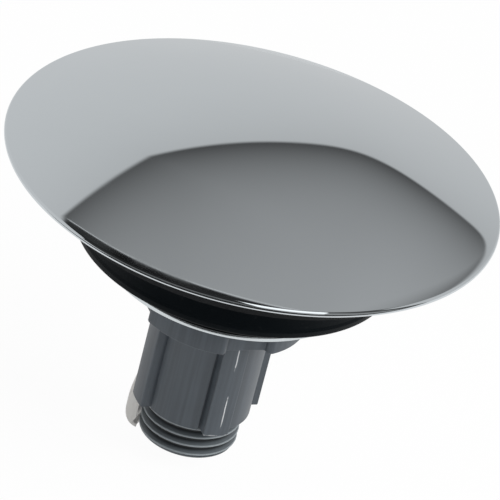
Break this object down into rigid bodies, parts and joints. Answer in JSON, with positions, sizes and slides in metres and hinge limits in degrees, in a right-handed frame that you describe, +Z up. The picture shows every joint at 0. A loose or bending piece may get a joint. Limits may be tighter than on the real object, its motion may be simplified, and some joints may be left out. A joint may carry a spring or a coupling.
{
  "type": "pop-up bath drain plug",
  "caption": "Chromed domed drain cover with a black rubber seal, clamp washer, and a ribbed guide sleeve holding a height-adjusting screw",
  "frame": {"origin": "on the plug's axis, level with the seal's lower outer edge, which rests on the outlet's seat", "axes": "+Z up the plug's axis through the cap, +X and +Y along the sleeve's ribs"},
  "size_m": [0.072, 0.072, 0.0528],
  "materials": {
    "polished_chrome": "mirror-bright chrome plating on a pressed brass disc",
    "black_moulding": "black satin moulding",
    "seal_rubber": "black satin rubber",
    "polished_steel": "bright stamped stainless sheet",
    "screw_steel": "plain stainless, as headed",
    "insert_brass": "as turned",
    "grey_moulding": "dark grey moulding with a soft sheen",
    "adjuster_moulding": "dark grey moulding with a soft sheen",
    "ring_rubber": "black rubber ring",
    "pale_acetal": "off-white acetal, slightly waxy"
  },
  "bodies": {
    "plug_body": {"cap_shell": "polished_chrome", "cap_carrier": "black_moulding", "threaded_insert": "insert_brass", "seal": "seal_rubber", "clamp_washer": "polished_steel", "guide_sleeve": "grey_moulding", "fastening_screw": "screw_steel", "screw_washer": "screw_steel", "retaining_spring": "pale_acetal"},
    "ring_carriage": {"friction_ring": "ring_rubber"},
    "adjuster": {"adjusting_screw": "adjuster_moulding"}
  },
  "joints": [
    {"name": "adjuster_travel", "type": "slide", "parent": "plug_body", "child": "ring_carriage", "axis": [0, 0, -1], "range_m": [-0.004, 0.003]},
    {"name": "adjuster_turn", "type": "hinge", "parent": "ring_carriage", "child": "adjuster", "pos_m": [0, 0, -0.027], "axis": [0, 0, -1], "range_deg": [-962, 722]}
  ],
  "couplings": [
    {"joint": "adjuster_turn", "follows": "adjuster_travel", "rad_per_m": 4188.8}
  ]
}
